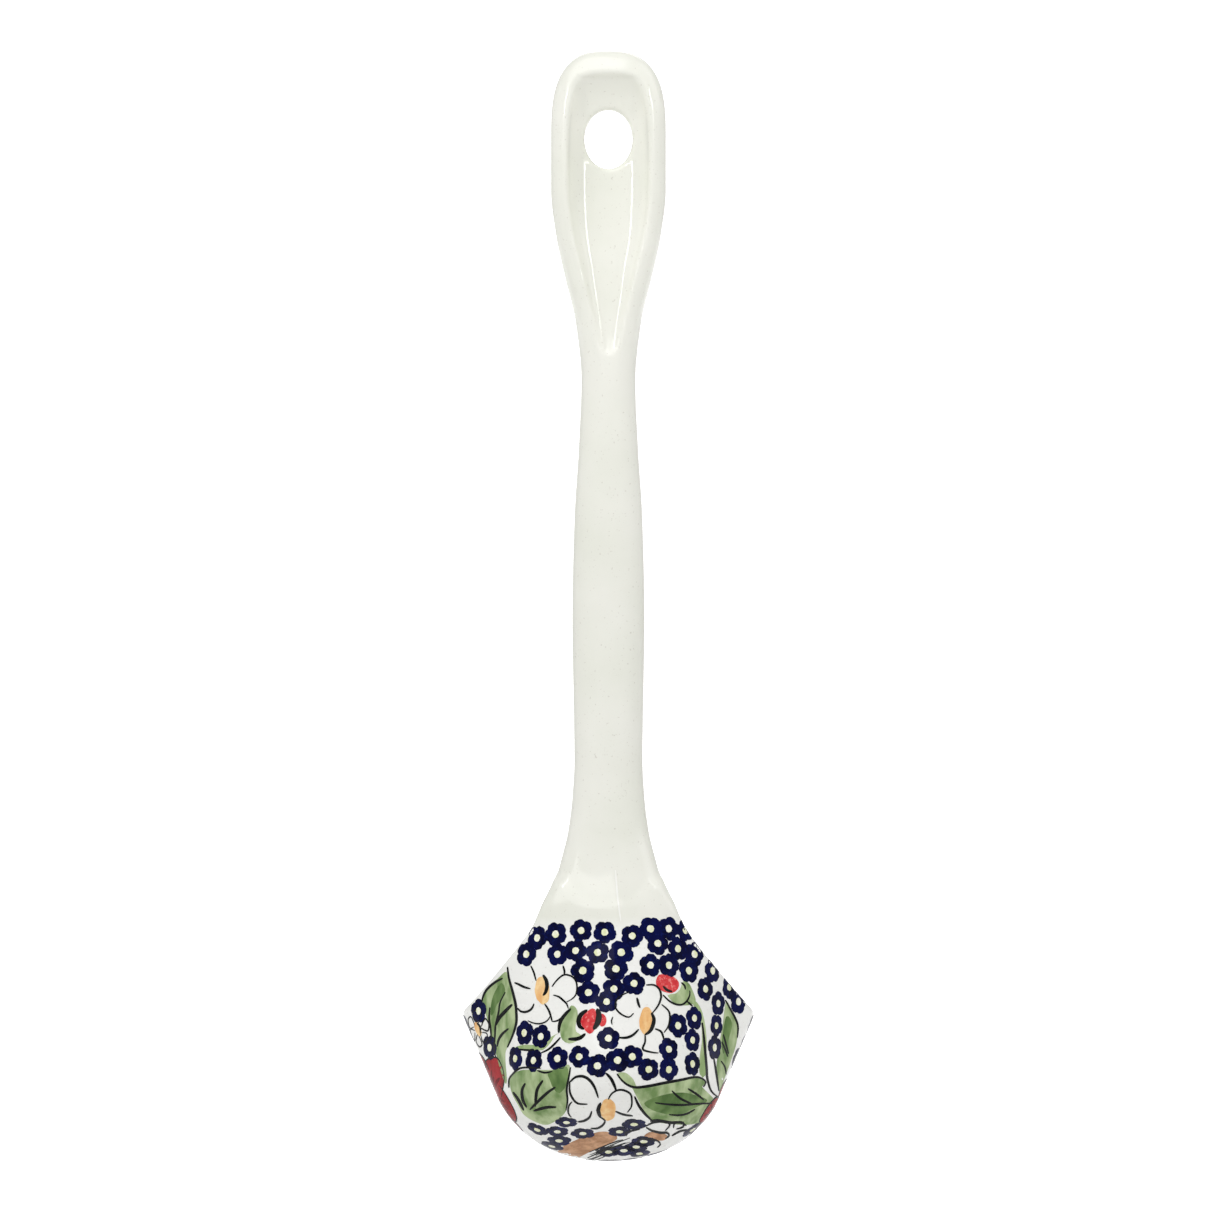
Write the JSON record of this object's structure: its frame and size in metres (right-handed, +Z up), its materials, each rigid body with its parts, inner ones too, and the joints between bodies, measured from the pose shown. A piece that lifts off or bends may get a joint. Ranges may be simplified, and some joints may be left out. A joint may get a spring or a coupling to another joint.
{
  "type": "soup ladle",
  "caption": "Hand-painted glazed stoneware ladle: round bowl with two pouring lips, long flared handle with a scooped head and an oval hanging hole.",
  "frame": {"origin": "centre of the hanging hole, on the head's middle plane", "axes": "+Z up along the handle, +Y the side the bowl opens to, +X to the right seen from behind the bowl"},
  "size_m": [0.0812, 0.0689, 0.3049],
  "materials": {
    "painted_stoneware": "clear gloss glaze over cobalt, green, red and orange underglaze painting on off-white stoneware",
    "slip": "fired luting slip",
    "cream_stoneware": "clear gloss glaze over cream stoneware, fine speckle"
  },
  "bodies": {
    "root": {"bowl": "painted_stoneware", "luting_slip": "slip", "handle": "cream_stoneware"}
  },
  "joints": []
}
